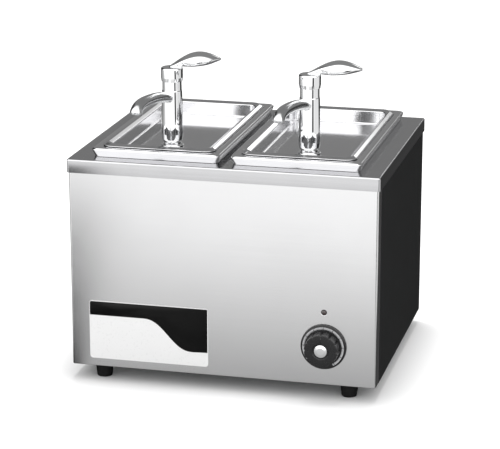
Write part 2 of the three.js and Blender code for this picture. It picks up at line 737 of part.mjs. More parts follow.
function addPump(side, sign) {
  const axis = new THREE.Group();
  axis.position.set(sign * PAN_X, PUMP_Y, 0);
  dispenser.add(axis);
  add(axis, `lock_collar_${side}`, lockCollar(), chrome);
  add(axis, `pump_cylinder_${side}`, pumpCylinder(), polished);
  add(axis, `intake_foot_${side}`, intakeFoot(), nylon);
  add(axis, `intake_ball_${side}`, intakeBall(), polished);
  const head = new THREE.Group();
  head.rotation.z = THREE.MathUtils.degToRad(SPOUT_TURN);
  axis.add(head);
  add(head, `pump_body_${side}`, pumpBody(), chrome);
  add(head, `spout_${side}`, spout(), chrome);
  const setScrew = rod(1.9, 10.5, 14.4, 8).rotateX(Math.PI / 2).translate(0, 0, H(18.5));
  add(head, `set_screw_${side}`, setScrew, zinc);
  const plunger = new THREE.Group();
  plunger.rotation.z = THREE.MathUtils.degToRad(HANDLE_TURNS[side]);
  axis.add(plunger);
  add(plunger, `pump_handle_${side}`, pumpHandle(), chrome);
  add(plunger, `plunger_rod_${side}`, rod(ROD_R, PISTON_Z - 1, COLLAR_TOP_Z - 1.8, 16), polished);
  add(plunger, `return_spring_${side}`, returnSpring(), zinc);
  add(plunger, `piston_${side}`, piston(), nylon);
  add(plunger, `piston_seal_${side}`, pistonSeal(), rubber);
}

function addWell(side, sign) {
  const x = sign * PAN_X;
  add(dispenser, `pan_${side}`, moved(pan(), x, PAN_Y, 0), polished);
  add(dispenser, `lid_${side}`, moved(lid(), x, PAN_Y, 0), polished);
  add(dispenser, `well_liner_${side}`, moved(wellLiner(), x, PAN_Y, 0), polished);
  const z = WELL_FLOOR - SHEET - GAP - HEATER_R;
  add(dispenser, `heating_element_${side}`, moved(swept(heaterPath(), HEATER_R, 50, 3), x, PAN_Y, z), zinc);
}

function addControls() {
  const z = BASE_Z + KNOB_Z;
  const knobBack = FRONT_Y - 1;
  const facing = (geometry, y) => geometry.rotateX(Math.PI / 2).translate(KNOB_X, y, z);
  add(dispenser, 'thermostat_body', thermostatBody(), plastic);
  add(dispenser, 'thermostat_shaft', rodY(3, KNOB_X, knobBack - 11.5, THERMO_Y + 18, z, 16), zinc);
  add(dispenser, 'thermostat_knob', facing(knob(), knobBack), plastic);
  add(dispenser, 'knob_cap', facing(rod(10, 19.5, 21.2), knobBack), chrome);
  add(dispenser, 'sensor_bulb', sensorBulb(), copper);
  const pilotZ = BASE_Z + PILOT_Z;
  const lens = turned([[0, -12], [3.2, -12], [3.2, 0.5], [2.6, 1.6], [1.3, 2.2], [0, 2.4]], 16);
  add(dispenser, 'pilot_lens', lens.rotateX(Math.PI / 2).translate(KNOB_X, FRONT_Y, pilotZ), lensMaterial);
  const holder = turned([[3.5, 1.5], [6.5, 1.5], [6.5, 10], [3.5, 10], [3.5, 1.5]], 16);
  add(dispenser, 'pilot_holder', holder.rotateX(-Math.PI / 2).translate(KNOB_X, FRONT_Y, pilotZ), plastic);
  add(dispenser, 'terminal_block', moved(terminalBlock(), -110, 120, BASE_Z + SHEET + GAP + 6), nylon);
}

function addTrim() {
  const decal = slab(roundedRect(DECAL.w, DECAL.h, 4), 0, 0.5).rotateX(Math.PI / 2);
  add(dispenser, 'decal_plate', moved(decal, DECAL.x, FRONT_Y - GAP, BASE_Z + DECAL.z), decalMaterial);
  const knobReach = DECK_D / 2 + 22.2 - LIP_OVERHANG; // as far behind the middle as the knob is in front
  const gland = turned(
    [[3.6, -10], [7.9, -10], [7.9, 0.4], [12, 0.4], [12, 7], [9, 9], [6, 20], [5.6, 24], [3.6, 24], [3.6, -10]],
    16,
  );
  const glandLength = knobReach - BACK_Y;
  const fitted = gland.rotateX(-Math.PI / 2).scale(1, glandLength / 24, 1);
  add(dispenser, 'cord_gland', moved(fitted, GLAND.x, BACK_Y, BASE_Z + GLAND.z), rubber);
  let count = 1;
  for (const screwZ of SCREW_Z) {
    for (const x of [-SCREW_X, SCREW_X]) {
      add(dispenser, `panel_screw_${count}`, moved(panelScrew(), x, BACK_Y, screwZ), zinc);
      count += 1;
    }
  }
}

add(dispenser, 'top_deck', topDeck(), polished);
add(dispenser, 'front_panel', frontPanel(), brushed);
add(dispenser, 'left_side_panel', sidePanel(-1), painted);
add(dispenser, 'right_side_panel', sidePanel(1), painted);
add(dispenser, 'back_panel', backPanel(), painted);
add(dispenser, 'base_pan', basePan(), zinc);
footPlaces().forEach(([x, y], i) => {
  const name = ['front_left', 'front_right', 'back_left', 'back_right'][i];
  add(dispenser, `foot_${name}`, moved(footShape(), x, y, 0), rubber);
  add(dispenser, `foot_screw_${name}`, moved(footScrew(), x, y, 0), zinc);
});
addControls();
addTrim();
for (const [side, sign] of [['left', -1], ['right', 1]]) {
  addWell(side, sign);
  addPump(side, sign);
}

export default dispenser;
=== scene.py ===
"""Looks of the twin-well nacho cheese dispenser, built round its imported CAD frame.

Pieces are drawn in millimetres and the stage in metres. +X is right, +Y back and +Z up.
"""
import math
import bpy
from mathutils import Euler, Matrix, Vector
from mathutils.geometry import tessellate_polygon


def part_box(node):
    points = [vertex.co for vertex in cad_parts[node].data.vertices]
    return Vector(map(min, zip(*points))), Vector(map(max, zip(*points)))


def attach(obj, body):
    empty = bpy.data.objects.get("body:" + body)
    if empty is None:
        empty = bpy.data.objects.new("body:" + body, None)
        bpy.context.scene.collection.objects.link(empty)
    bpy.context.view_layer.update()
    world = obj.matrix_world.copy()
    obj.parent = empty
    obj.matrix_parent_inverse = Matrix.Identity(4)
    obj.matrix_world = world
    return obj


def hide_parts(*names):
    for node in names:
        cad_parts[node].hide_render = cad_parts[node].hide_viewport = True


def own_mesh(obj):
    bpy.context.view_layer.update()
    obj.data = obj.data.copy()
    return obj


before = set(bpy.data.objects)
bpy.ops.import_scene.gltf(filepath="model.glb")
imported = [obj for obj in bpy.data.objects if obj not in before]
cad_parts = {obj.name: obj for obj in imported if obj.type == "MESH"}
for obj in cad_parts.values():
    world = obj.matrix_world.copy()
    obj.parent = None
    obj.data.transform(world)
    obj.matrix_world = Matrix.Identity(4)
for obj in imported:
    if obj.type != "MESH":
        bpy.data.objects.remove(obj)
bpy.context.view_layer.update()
MM = 0.001
SIDES = (("left", -1), ("right", 1))
CORNERS = ("front_left", "front_right", "back_left", "back_right")


def box_mm(node):
    """Lowest and highest corner of a CAD node in millimetres."""
    lo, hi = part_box(node)
    return [c / MM for c in lo], [c / MM for c in hi]


def size_mm(node):
    """Size of a CAD node's box along X, Y and Z."""
    return [high - low for low, high in zip(*box_mm(node))]


def middle_mm(node):
    """Middle of a CAD node's box."""
    return [(low + high) / 2 for low, high in zip(*box_mm(node))]


# ---------------------------------------------------------------- dimensions from the frame
deck_lo, deck_hi = box_mm("top_deck")
front_lo, front_hi = box_mm("front_panel")
DECK_SIZE = size_mm("top_deck")[:2]
DECK_Z = deck_hi[2]
BACK_Y = deck_hi[1] - 2.0  # outer face of the back panel
CORNER_R = 3.5  # bend at the housing's upright corners
BEND_STEPS = 8
WELL_SIZE, WELL_R = (160.0, 306.0), 14.0  # openings in the deck

PAN_X, PAN_Y = middle_mm("pan_right")[:2]
RIM_SIZE = size_mm("pan_right")[:2]
RIM_Z = box_mm("pan_right")[1][2]
RIM_WIDTH = 13.2  # from the rim's outer edge to the pan's mouth
PAN_DEPTH = 148.8

LID_INSET = 10.0  # the lid's flange starts this far in from the pan's edge
LID_WALL = 22.5  # and its recess is this far in at the bottom
LID_BEAD_H = 4.2  # the bead's crest stands this high over the pan's rim
LID_FLOOR = DECK_Z - 5.0

PUMP_Y = middle_mm("lock_collar_right")[1]  # axis of both pumps
SPOUT_TURN = -8.0  # degrees about Z from straight ahead
HANDLE_TURNS = {"left": 35.0, "right": 13.0}  # degrees about Z from +X
HEAD_Z = DECK_Z + 78.0  # shoulder of the post, under the handle's travel
COLLAR_Z = box_mm("pump_handle_right")[0][2]  # underside of the handle's collar
COLLAR_TOP = COLLAR_Z + 19.5


# ---------------------------------------------------------------- nodes of a material
def new_material(name):
    """A new material, its node tree and its shader."""
    material = bpy.data.materials.new(name)
    material.use_nodes = True
    tree = material.node_tree
    return material, tree, tree.nodes["Principled BSDF"]


def feed(tree, socket, value):
    """Link another node's output to a socket, or set the socket to a plain value."""
    if hasattr(value, "links"):
        tree.links.new(value, socket)
    else:
        socket.default_value = value


def add_node(tree, kind, inputs=None, **settings):
    made = tree.nodes.new(kind)
    for key, value in settings.items():
        setattr(made, key, value)
    for key, value in (inputs or {}).items():
        feed(tree, made.inputs[key], value)
    return made


def object_coords(tree, scale=(1, 1, 1), offset=(0, 0, 0)):
    coords = add_node(tree, "ShaderNodeTexCoord").outputs["Object"]
    inputs = {"Vector": coords, "Scale": scale, "Location": offset}
    return add_node(tree, "ShaderNodeMapping", inputs).outputs["Vector"]


def noise(tree, vector, scale, detail=3.0, rough=0.5):
    inputs = {"Vector": vector, "Scale": scale, "Detail": detail, "Roughness": rough}
    return add_node(tree, "ShaderNodeTexNoise", inputs).outputs["Fac"]


def ramp(tree, fac, low, high, a=0.0, b=1.0):
    """fac from low to high becomes a to b, and stays there beyond them."""
    inputs = {"Value": fac, "From Min": low, "From Max": high, "To Min": a, "To Max": b}
    return add_node(tree, "ShaderNodeMapRange", inputs).outputs["Result"]


def calculate(tree, operation, a, b):
    return add_node(tree, "ShaderNodeMath", {0: a, 1: b}, operation=operation).outputs[0]


def product(tree, first, *others):
    for factor in others:
        first = calculate(tree, "MULTIPLY", first, factor)
    return first


def between(tree, value, outer_low, low, high, outer_high):
    """1 where the value lies from low to high, fading to 0 at the two outer ends."""
    return product(tree, ramp(tree, value, outer_low, low), ramp(tree, value, outer_high, high))


def mix(tree, fac, a, b, kind="VALUE"):
    """a where fac is 0 and b where it is 1; kind is what is mixed, VALUE or RGBA."""
    made = tree.nodes.new("ShaderNodeMix")
    made.data_type = "FLOAT" if kind == "VALUE" else "RGBA"
    factor = next(s for s in made.inputs if s.type == "VALUE")
    first, second = [s for s in made.inputs if s.type == kind][-2:]
    for socket, value in ((factor, fac), (first, a), (second, b)):
        feed(tree, socket, value)
    return next(s for s in made.outputs if s.type == kind)


def clouded(tree, colour, share, fac):
    """The colour, from a share darker where fac is 0 to a share lighter where it is 1."""
    dark = [c * (1 - share) for c in colour]
    light = [min(1.0, c * (1 + share)) for c in colour]
    return mix(tree, fac, (*dark, 1), (*light, 1), "RGBA")


def bump(tree, shader, height, strength, distance):
    inputs = {"Height": height, "Strength": strength, "Distance": distance}
    made = add_node(tree, "ShaderNodeBump", inputs)
    tree.links.new(made.outputs["Normal"], shader.inputs["Normal"])


# ---------------------------------------------------------------- materials
def metal(name, colour, roughness, grain=None, depth=0.0, cloud=0.03, anisotropic=0.0,
          spread=0.05, swell=0.0, streak=0.04):
    """A metal with clouded colour and uneven roughness, brushed or gently wavy.

    grain is the fineness of the strokes along X, Y and Z, low along them and high across.
    """
    material, tree, shader = new_material(name)
    shader.inputs["Metallic"].default_value = 1.0
    shader.inputs["Anisotropic"].default_value = anisotropic
    plain = object_coords(tree)
    clouds = noise(tree, plain, 9.0, 4.0, 0.55)
    colour_out = clouded(tree, colour, cloud, ramp(tree, clouds, 0.35, 0.65))
    smears = noise(tree, object_coords(tree, offset=(3, 1, 2)), 23.0, 5.0, 0.6)
    rough = ramp(tree, smears, 0.3, 0.7, roughness - spread, roughness + spread)
    if grain:
        lines = noise(tree, object_coords(tree, grain), 1.0, 6.0, 0.65)
        streaks = ramp(tree, lines, 0.3, 0.7, 1 - streak, 1 + 0.6 * streak)
        colour_out = add_node(
            tree, "ShaderNodeVectorMath", {0: colour_out, 1: streaks}, operation="MULTIPLY"
        ).outputs["Vector"]
        bump(tree, shader, lines, depth, 0.0002)
    elif swell:
        bump(tree, shader, noise(tree, plain, 14.0, 1.0, 0.3), swell, 0.002)
    tree.links.new(colour_out, shader.inputs["Base Color"])
    tree.links.new(rough, shader.inputs["Roughness"])
    return material


def coated(name, colour, roughness, pebbles, depth, spread=0.06, specular=0.5, cloud=0.12,
           coat=0.0):
    """A paint, plastic or rubber with a skin of fine pebbles, so many to the metre."""
    material, tree, shader = new_material(name)
    shader.inputs["Specular IOR Level"].default_value = specular
    shader.inputs["Coat Weight"].default_value = coat
    plain = object_coords(tree)
    clouds = noise(tree, plain, 14.0, 4.0, 0.6)
    colour_out = clouded(tree, colour, cloud, ramp(tree, clouds, 0.3, 0.7))
    pebble = noise(tree, plain, pebbles, 3.0, 0.5)
    rough = ramp(tree, pebble, 0.3, 0.7, roughness - spread, roughness + spread)
    bump(tree, shader, pebble, depth, 0.0003)
    tree.links.new(colour_out, shader.inputs["Base Color"])
    tree.links.new(rough, shader.inputs["Roughness"])
    return material


FRONT = metal("brushed_front", (0.80, 0.80, 0.805), 0.22, grain=(2, 2, 420), depth=0.006,
              cloud=0.012, anisotropic=0.3, spread=0.015, streak=0.012)
DECK = metal("deck_steel_sheet", (0.60, 0.60, 0.61), 0.15, grain=(3, 260, 260), depth=0.02,
             cloud=0.02, spread=0.03)
LID = metal("lid_steel_sheet", (0.76, 0.76, 0.77), 0.10, grain=(260, 4, 260), depth=0.02,
            cloud=0.02, spread=0.02)
RIM = metal("pan_steel_sheet", (0.82, 0.82, 0.83), 0.10, cloud=0.02, spread=0.02, swell=0.06)
WELL = metal("well_steel", (0.60, 0.60, 0.61), 0.35, grain=(3, 3, 240), depth=0.08, cloud=0.05)
CHROME = metal("chrome_plate", (0.90, 0.905, 0.91), 0.045, cloud=0.015, spread=0.02, swell=0.05)
SATIN = metal("satin_chrome", (0.76, 0.765, 0.77), 0.16, cloud=0.02, spread=0.02, swell=0.03)
BARE = metal("turned_steel", (0.66, 0.66, 0.67), 0.24, grain=(40, 40, 900), depth=0.06, cloud=0.04)
ZINC = metal("zinc_plate", (0.50, 0.52, 0.54), 0.42, grain=(60, 60, 60), depth=0.05, cloud=0.10)
COPPER = metal("copper_tube", (0.72, 0.40, 0.26), 0.28, grain=(70, 70, 70), depth=0.04, cloud=0.10)

PAINT = coated("charcoal_enamel", (0.012, 0.0125, 0.013), 0.34, 700.0, 0.08, spread=0.05,
               specular=0.2)
RUBBER = coated("black_rubber", (0.006, 0.006, 0.006), 0.70, 900.0, 0.25, spread=0.08,
                specular=0.2, cloud=0.3)
PLASTIC = coated("black_phenolic", (0.008, 0.008, 0.0085), 0.28, 500.0, 0.08, spread=0.05,
                 specular=0.4, cloud=0.2)
NYLON = coated("natural_nylon", (0.74, 0.71, 0.63), 0.48, 600.0, 0.15)
LENS = coated("dark_lens", (0.015, 0.004, 0.004), 0.12, 90.0, 0.02, spread=0.03, cloud=0.3,
              coat=1.0)
DIAL_GREY = coated("dial_print", (0.44, 0.44, 0.45), 0.35, 800.0, 0.03, spread=0.05, cloud=0.05)
LABEL_WHITE = coated("label_white", (0.74, 0.74, 0.74), 0.28, 300.0, 0.003, spread=0.01,
                     specular=0.4, cloud=0.01)
LABEL_BLACK = coated("label_black", (0.005, 0.005, 0.005), 0.36, 300.0, 0.01, spread=0.03,
                     specular=0.15, cloud=0.15)


# ---------------------------------------------------------------- building skins
def arc(cx, cy, r, start, end, steps):
    """Points of an arc from start to end in degrees, both included."""
    angles = [math.radians(start + (end - start) * i / steps) for i in range(steps + 1)]
    return [(cx + r * math.cos(a), cy + r * math.sin(a)) for a in angles]


def rounded_path(points, steps=5):
    """An open line of (x, y, radius) with its corners rounded to those radii."""
    out = []
    for i, (x, y, r) in enumerate(points):
        here = Vector((x, y))
        if r <= 0 or i in (0, len(points) - 1):
            out.append((x, y))
            continue
        to_last = Vector(points[i - 1][:2]) - here
        to_next = Vector(points[i + 1][:2]) - here
        half = to_last.angle(to_next) / 2
        reach = min(r / math.tan(half), 0.49 * to_last.length, 0.49 * to_next.length)
        start, end = here + to_last.normalized() * reach, here + to_next.normalized() * reach
        for k in range(steps + 1):
            t = k / steps
            blend = start.lerp(here, t).lerp(here.lerp(end, t), t)
            out.append((blend.x, blend.y))
    return out


def rect_ring(size, inset, r, z, centre=(0.0, 0.0), steps=8):
    """A rounded rectangle at height z, an inset smaller than size all round; anticlockwise."""
    r = max(r, 0.05)
    x, y = size[0] / 2 - inset - r, size[1] / 2 - inset - r
    ring = []
    for sx, sy, start in ((1, -1, -90), (1, 1, 0), (-1, 1, 90), (-1, -1, 180)):
        ring += arc(sx * x, sy * y, r, start, start + 90, steps)
    return [(centre[0] + px, centre[1] + py, z) for px, py in ring]


def circle_ring(r, z, centre=(0.0, 0.0), count=64):
    angles = [2 * math.pi * i / count for i in range(count)]
    return [(centre[0] + r * math.cos(a), centre[1] + r * math.sin(a), z) for a in angles]


class Skin:
    """The vertices and faces of one piece, in millimetres."""

    def __init__(self):
        self.points = []
        self.faces = []

    def ring(self, points):
        first = len(self.points)
        self.points += [tuple(p) for p in points]
        return list(range(first, len(self.points)))

    def bridge(self, a, b, closed=True):
        count = len(a)
        for i in range(count if closed else count - 1):
            k = (i + 1) % count
            self.faces.append((a[i], a[k], b[k], b[i]))

    def loft(self, rings, closed=True):
        loops = [self.ring(r) for r in rings]
        for a, b in zip(loops, loops[1:]):
            self.bridge(a, b, closed)
        return loops

    def cap(self, loop, flip=False):
        self.faces.append(tuple(reversed(loop)) if flip else tuple(loop))

    def fill(self, loops, way=(0, 0, 1)):
        """A flat face inside the first loop and outside the others, facing the way given."""
        flat = [i for loop in loops for i in loop]
        outlines = [[Vector(self.points[i]) for i in loop] for loop in loops]
        for triangle in tessellate_polygon(outlines):
            a, b, c = (flat[i] for i in triangle)
            pa, pb, pc = (Vector(self.points[i]) for i in (a, b, c))
            if (pb - pa).cross(pc - pa).dot(Vector(way)) < 0:
                b, c = c, b
            self.faces.append((a, b, c))

    def turned(self, profile, count=72):
        """A profile of (radius, height) turned about Z; it faces out where the profile rises."""
        loops = [
            self.ring(circle_ring(r, z, count=count)) if r > 0 else self.ring([(0, 0, z)]) * count
            for r, z in profile
        ]
        for a, b in zip(loops, loops[1:]):
            for i in range(count):
                k = (i + 1) % count
                face = tuple(dict.fromkeys((a[i], a[k], b[k], b[i])))
                if len(face) > 2:
                    self.faces.append(face)

    def build(self, name, body, slot, material, replaces=(), at=None, thick=0.0, sharp=32,
              flats=False):
        """The piece itself, on its body, in place of the CAD nodes that it replaces.

        thick grows a sheet inwards, edges over sharp degrees stay sharp, and flats keeps the
        shading of flat faces even next to rounded edges.
        """
        mesh = bpy.data.meshes.new(name)
        place = at or Matrix.Identity(4)
        mesh.from_pydata([place @ (Vector(p) * MM) for p in self.points], [], self.faces)
        mesh.validate()
        mesh.materials.append(material)
        piece = bpy.data.objects.new(name, mesh)
        bpy.context.scene.collection.objects.link(piece)
        mesh.shade_smooth()
        mesh.set_sharp_from_angle(angle=math.radians(sharp))
        if thick:
            solid = piece.modifiers.new("thickness", "SOLIDIFY")
            solid.thickness = thick * MM
            solid.offset = -1
            solid.use_even_offset = True
        if flats:
            even = piece.modifiers.new("flats", "WEIGHTED_NORMAL")
            even.keep_sharp = True
        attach(piece, body)
        if replaces:
            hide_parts(*replaces)
        return piece


def upright(x, y, turn=0.0):
    """A place on a vertical axis, turned about it by degrees."""
    turned = Matrix.Rotation(math.radians(turn), 4, "Z")
    return Matrix.Translation((x * MM, y * MM, 0.0)) @ turned


def on_wall(node, y, tip):
    """A place at the node's middle and at depth y, whose +Z is tipped about X by degrees."""
    x, _, z = middle_mm(node)
    tipped = Matrix.Rotation(math.radians(tip), 4, "X")
    return Matrix.Translation((x * MM, y * MM, z * MM)) @ tipped


def facing_front(node):
    """A place at the node's back, whose +Z looks out of the front panel."""
    return on_wall(node, box_mm(node)[1][1], 90)


def facing_back(node):
    """A place on the back panel's face, whose +Z looks out of it."""
    return on_wall(node, BACK_Y, -90)


# ---------------------------------------------------------------- housing
def deck():
    """The pressed deck: a lip all round, a rolled edge and two openings with rolled rims."""
    skin = Skin()
    edge = rounded_path([(0.0, deck_lo[2], 0), (0.0, DECK_Z, 2.6), (14.0, DECK_Z, 0)], 7)[:-1]
    rings = [rect_ring(DECK_SIZE, d, max(CORNER_R - d, 0.6), z) for d, z in edge]
    rings.append(rect_ring(DECK_SIZE, edge[-1][0] + 0.6, 0.5, DECK_Z))
    outer = skin.loft(rings)[-1]
    holes = []
    for _, sign in SIDES:
        centre = (sign * PAN_X, PAN_Y)
        rolled = ((2.0, 0.0), (1.0, 0.0), (0.3, -0.3), (0.0, -1.0))
        loops = skin.loft([rect_ring(WELL_SIZE, -out, WELL_R + out, DECK_Z + rise, centre)
                           for out, rise in rolled])
        holes.append(loops[0])
    skin.fill([outer, *holes])
    skin.build("deck_sheet", "housing", "deck_steel", DECK, ["top_deck"], thick=1.2, flats=True)


def front_hole(skin, node, radius):
    """A round hole at the node's middle, with a narrow ring about it; the ring's outer loop."""
    x, _, z = middle_mm(node)
    rim, guard = (
        skin.ring([(x + px, front_lo[1], z + pz) for px, pz, _ in circle_ring(r, 0.0, count=32)])
        for r in (radius, radius + 0.9)
    )
    skin.bridge(guard, rim)
    return guard


def front():
    """The front sheet: a flat face between two bends that wrap back to the side panels."""
    skin = Skin()
    (_, y0, z0), (half, y1, z1) = front_lo, front_hi

    def outline(inset):
        """The sheet from its left return to its right one, seen from above."""
        bend = CORNER_R - inset
        left = arc(-half + CORNER_R, y0 + CORNER_R, bend, 180, 270, BEND_STEPS)
        right = arc(half - CORNER_R, y0 + CORNER_R, bend, 270, 360, BEND_STEPS)
        return [(-half + inset, y1), *left, *right, (half - inset, y1)]

    hem = rounded_path([(5.0, z0, 0), (0.0, z0, 1.2), (0.0, z1 - 1.0, 0), (0.0, z1, 0)], 4)
    loops = [skin.ring([(x, y, z) for x, y in outline(inset)]) for inset, z in hem]
    low, top, edge = loops[-3:]
    for a, b in (*zip(loops[:-3], loops[1:-2]), (top, edge)):
        skin.bridge(a, b, closed=False)
    flat = 1 + BEND_STEPS  # the span between the bends, which has the holes
    for i in range(len(low) - 1):
        if i != flat:
            skin.faces.append((low[i], low[i + 1], top[i + 1], top[i]))
    face = [low[flat], low[flat + 1], top[flat + 1], top[flat]]
    holes = [front_hole(skin, "thermostat_knob", 4.2), front_hole(skin, "pilot_lens", 3.6)]
    skin.fill([face, *holes], way=(0, -1, 0))
    skin.build("front_skin", "housing", "front_steel", FRONT, ["front_panel"], thick=1.2,
               flats=True)


# ---------------------------------------------------------------- pans and lids
def pan(side, sign):
    """A pressed pan: a rim with a hanging edge, leaning walls and a rounded floor."""
    skin = Skin()
    floor_z = RIM_Z - PAN_DEPTH
    path = rounded_path(
        [
            (3.0, RIM_Z - 11.6, 0), (0.0, RIM_Z - 2.2, 1.0), (1.6, RIM_Z, 1.6),
            (RIM_WIDTH, RIM_Z, 2.0), (RIM_WIDTH + 5.0, floor_z, 9.0), (40.0, floor_z, 0),
        ],
        6,
    )
    rings = []
    for inset, z in path:
        radius = 7.0 + 6.0 * min(1.0, max(0.0, inset / RIM_WIDTH))
        if inset > RIM_WIDTH + 0.1:
            radius += 4.0 * (RIM_Z - z) / 149
        rings.append(rect_ring(RIM_SIZE, inset, radius, z, (sign * PAN_X, PAN_Y), 10))
    skin.cap(skin.loft(rings)[-1])
    skin.build(f"pan_shell_{side}", f"pan_{side}", "pan_steel", RIM, [f"pan_{side}"], thick=1.2,
               flats=True)


def lid_corner(inset):
    """Corner radius of the lid; at the foot of its wall and inwards the rings are concentric."""
    if inset < LID_WALL - 0.1:
        return 17.0 - 0.6 * (inset - LID_INSET)
    return LID_WALL + 9.4 - inset


def lid(side, sign):
    """A sheet pressed to a bead round its flange and a recess inside it."""
    skin = Skin()
    centre = (sign * PAN_X, PAN_Y)
    flange, crest = RIM_Z + 1.8, RIM_Z + LID_BEAD_H
    path = rounded_path(
        [
            (LID_INSET + 0.6, flange - 1.4, 0), (LID_INSET, flange, 0.7), (12.0, flange, 1.2),
            (15.9, crest, 1.2), (16.7, crest, 1.2), (22.2, RIM_Z + 1.0, 2.0),
            (LID_WALL, LID_FLOOR, 2.2), (60.0, LID_FLOOR, 0),
        ],
        7,
    )[:-1]
    path.append((path[-1][0] + 1.0, LID_FLOOR))
    loops = skin.loft([rect_ring(RIM_SIZE, inset, lid_corner(inset), z, centre, 10)
                       for inset, z in path])
    hole = skin.ring(circle_ring(12.8, LID_FLOOR, (sign * PAN_X, PUMP_Y), 64))
    skin.fill([loops[-1], hole])
    skin.build(f"lid_shell_{side}", f"lid_{side}", "pan_steel", LID, [f"lid_{side}"], thick=1.4,
               flats=True)


# ---------------------------------------------------------------- pumps
def lock_collar(side, sign):
    """The ring that locks the pump to the lid, with a groove round its middle."""
    skin = Skin()
    node = f"lock_collar_{side}"
    (_, _, z0), (_, _, z1) = box_mm(node)
    bore, r = 12.8, size_mm(node)[0] / 2
    profile = rounded_path(
        [(bore, z0, 0), (r, z0, 0.8), (r, z0 + 2.4, 0.4), (r - 0.7, z0 + 3.0, 0.3),
         (r, z0 + 3.6, 0.4), (r, z1, 1.6), (bore, z1, 0.3), (bore, z0, 0)], 4
    )
    skin.turned(profile)
    skin.build(f"lock_ring_{side}", f"lid_{side}", "chrome", CHROME, [node],
               upright(sign * PAN_X, PUMP_Y))


def pump_post(side, sign):
    """The chrome post: a flange under the lid, a waist on the collar and a neck at the top."""
    skin = Skin()
    node = f"pump_body_{side}"
    (_, _, flange), (_, _, top) = box_mm(node)
    waist = box_mm(f"lock_collar_{side}")[1][2]
    bore = 9.5
    profile = rounded_path(
        [
            (bore, flange, 0), (14.5, flange, 0.6), (14.5, flange + 4.2, 0.4),
            (12.5, flange + 4.2, 0.2), (12.5, waist + 0.4, 0.2), (11.9, waist + 1.0, 0.2),
            (11.9, waist + 3.6, 1.4), (14.2, waist + 6.5, 4.0), (15.0, waist + 15.0, 6.0),
            (13.8, HEAD_Z - 0.8, 0.5), (13.2, HEAD_Z, 0.5), (13.1, top - 0.1, 0.6),
            (bore, top - 0.1, 0.3), (bore, HEAD_Z - 3.0, 0),
        ],
        6,
    )
    skin.turned(profile, 96)
    skin.build(f"pump_post_{side}", f"pump_head_{side}", "chrome", CHROME, [node],
               upright(sign * PAN_X, PUMP_Y, SPOUT_TURN))


# Sections up the lever: height over the deck, outer edge from the pump's axis, depth towards
# the post and half width.
LEVER_Y, LEVER_INSET = 4.0, 0.4  # its middle beside the axis, and how far it lies in from there
LEVER_SECTIONS = (
    (18.5, -15.6, 1.2, 1.4), (19.2, -17.4, 3.0, 2.3), (23.0, -19.2, 4.8, 2.5),
    (34.0, -19.4, 5.2, 2.5), (46.0, -18.6, 5.6, 2.5), (52.4, -17.4, 5.0, 2.4),
    (53.8, -15.4, 2.6, 1.6),
)


def pump_lever(side, sign):
    """The small lever on the post's side, an oval bar that tapers at both ends."""
    skin = Skin()
    rows = []
    for height, outside, depth, half in LEVER_SECTIONS:
        middle = outside + LEVER_INSET + depth / 2
        rows.append([(middle + depth * x / 2, LEVER_Y + half * y, DECK_Z + height)
                     for x, y, _ in circle_ring(1.0, 0.0, count=20)])
    loops = skin.loft(rows)
    skin.cap(loops[0], flip=True)
    skin.cap(loops[-1])
    skin.build(f"pump_lever_{side}", f"pump_head_{side}", "chrome", CHROME, (),
               upright(sign * PAN_X, PUMP_Y, SPOUT_TURN))


# Centre line of the spout as (reach from the pump's axis, height over the deck).
SPOUT_LINE = [(8, 67), (24, 72), (48, 76.5), (76, 79), (98, 79), (110, 76.5), (116, 72.5),
              (118, 69)]
SPOUT_START = 0.055  # share of the line that lies inside the post


def catmull(points, t):
    """A point on a smooth line through points, t from 0 to 1."""
    span = t * (len(points) - 1)
    i = min(int(span), len(points) - 2)
    u = span - i
    p = [Vector(points[max(0, min(len(points) - 1, k))]) for k in range(i - 1, i + 3)]
    linear = (p[2] - p[0]) * u
    square = (2 * p[0] - 5 * p[1] + 4 * p[2] - p[3]) * u ** 2
    cube = (3 * p[1] - p[0] - 3 * p[2] + p[3]) * u ** 3
    return 0.5 * (2 * p[1] + linear + square + cube)


def spout_rings(root, steps=60, count=40):
    """Rings round the spout's line, root in radius at the post and a little more at the end."""
    rings = []
    for i in range(steps + 1):
        t = SPOUT_START + (1 - SPOUT_START) * i / steps
        here, r = catmull(SPOUT_LINE, t), root + 1.6 * t
        ahead, behind = (catmull(SPOUT_LINE, s) for s in (min(1, t + 0.004), max(0, t - 0.004)))
        along = (ahead - behind).normalized()
        rings.append([
            (x, -(here.x - along.y * rise), DECK_Z + here.y + along.x * rise)
            for x, rise, _ in circle_ring(r, 0.0, count=count)
        ])
    return rings


def spout(side, sign):
    """A downturned tube with a rounded lip, open along its whole bore."""
    skin = Skin()
    outer, inner = spout_rings(6.8), spout_rings(4.6)
    lip = [(Vector(a) + Vector(b)) / 2 - Vector((0, 0, 0.5)) for a, b in zip(outer[-1], inner[-1])]
    skin.loft([*outer, lip, *inner[::-1]])
    skin.build(f"spout_tube_{side}", f"pump_head_{side}", "chrome", SATIN, [f"spout_{side}"],
               upright(sign * PAN_X, PUMP_Y, SPOUT_TURN), sharp=60)


def handle_collar(side, sign):
    """The collar that slides down over the post's neck."""
    skin = Skin()
    inside, r = 13.7, 15.0
    profile = rounded_path(
        [(4.3, COLLAR_TOP - 5, 0), (inside, COLLAR_TOP - 5, 0.6), (inside, COLLAR_Z, 0.1),
         (14.2, COLLAR_Z, 0.2), (r, COLLAR_Z + 5.0, 2.0), (r, COLLAR_TOP - 0.4, 3.0),
         (6.0, COLLAR_TOP, 0.5), (0.0, COLLAR_TOP, 0)], 6
    )
    skin.turned(profile, 80)
    skin.build(f"handle_collar_{side}", f"plunger_{side}", "chrome", CHROME, (),
               upright(sign * PAN_X, PUMP_Y, HANDLE_TURNS[side]))


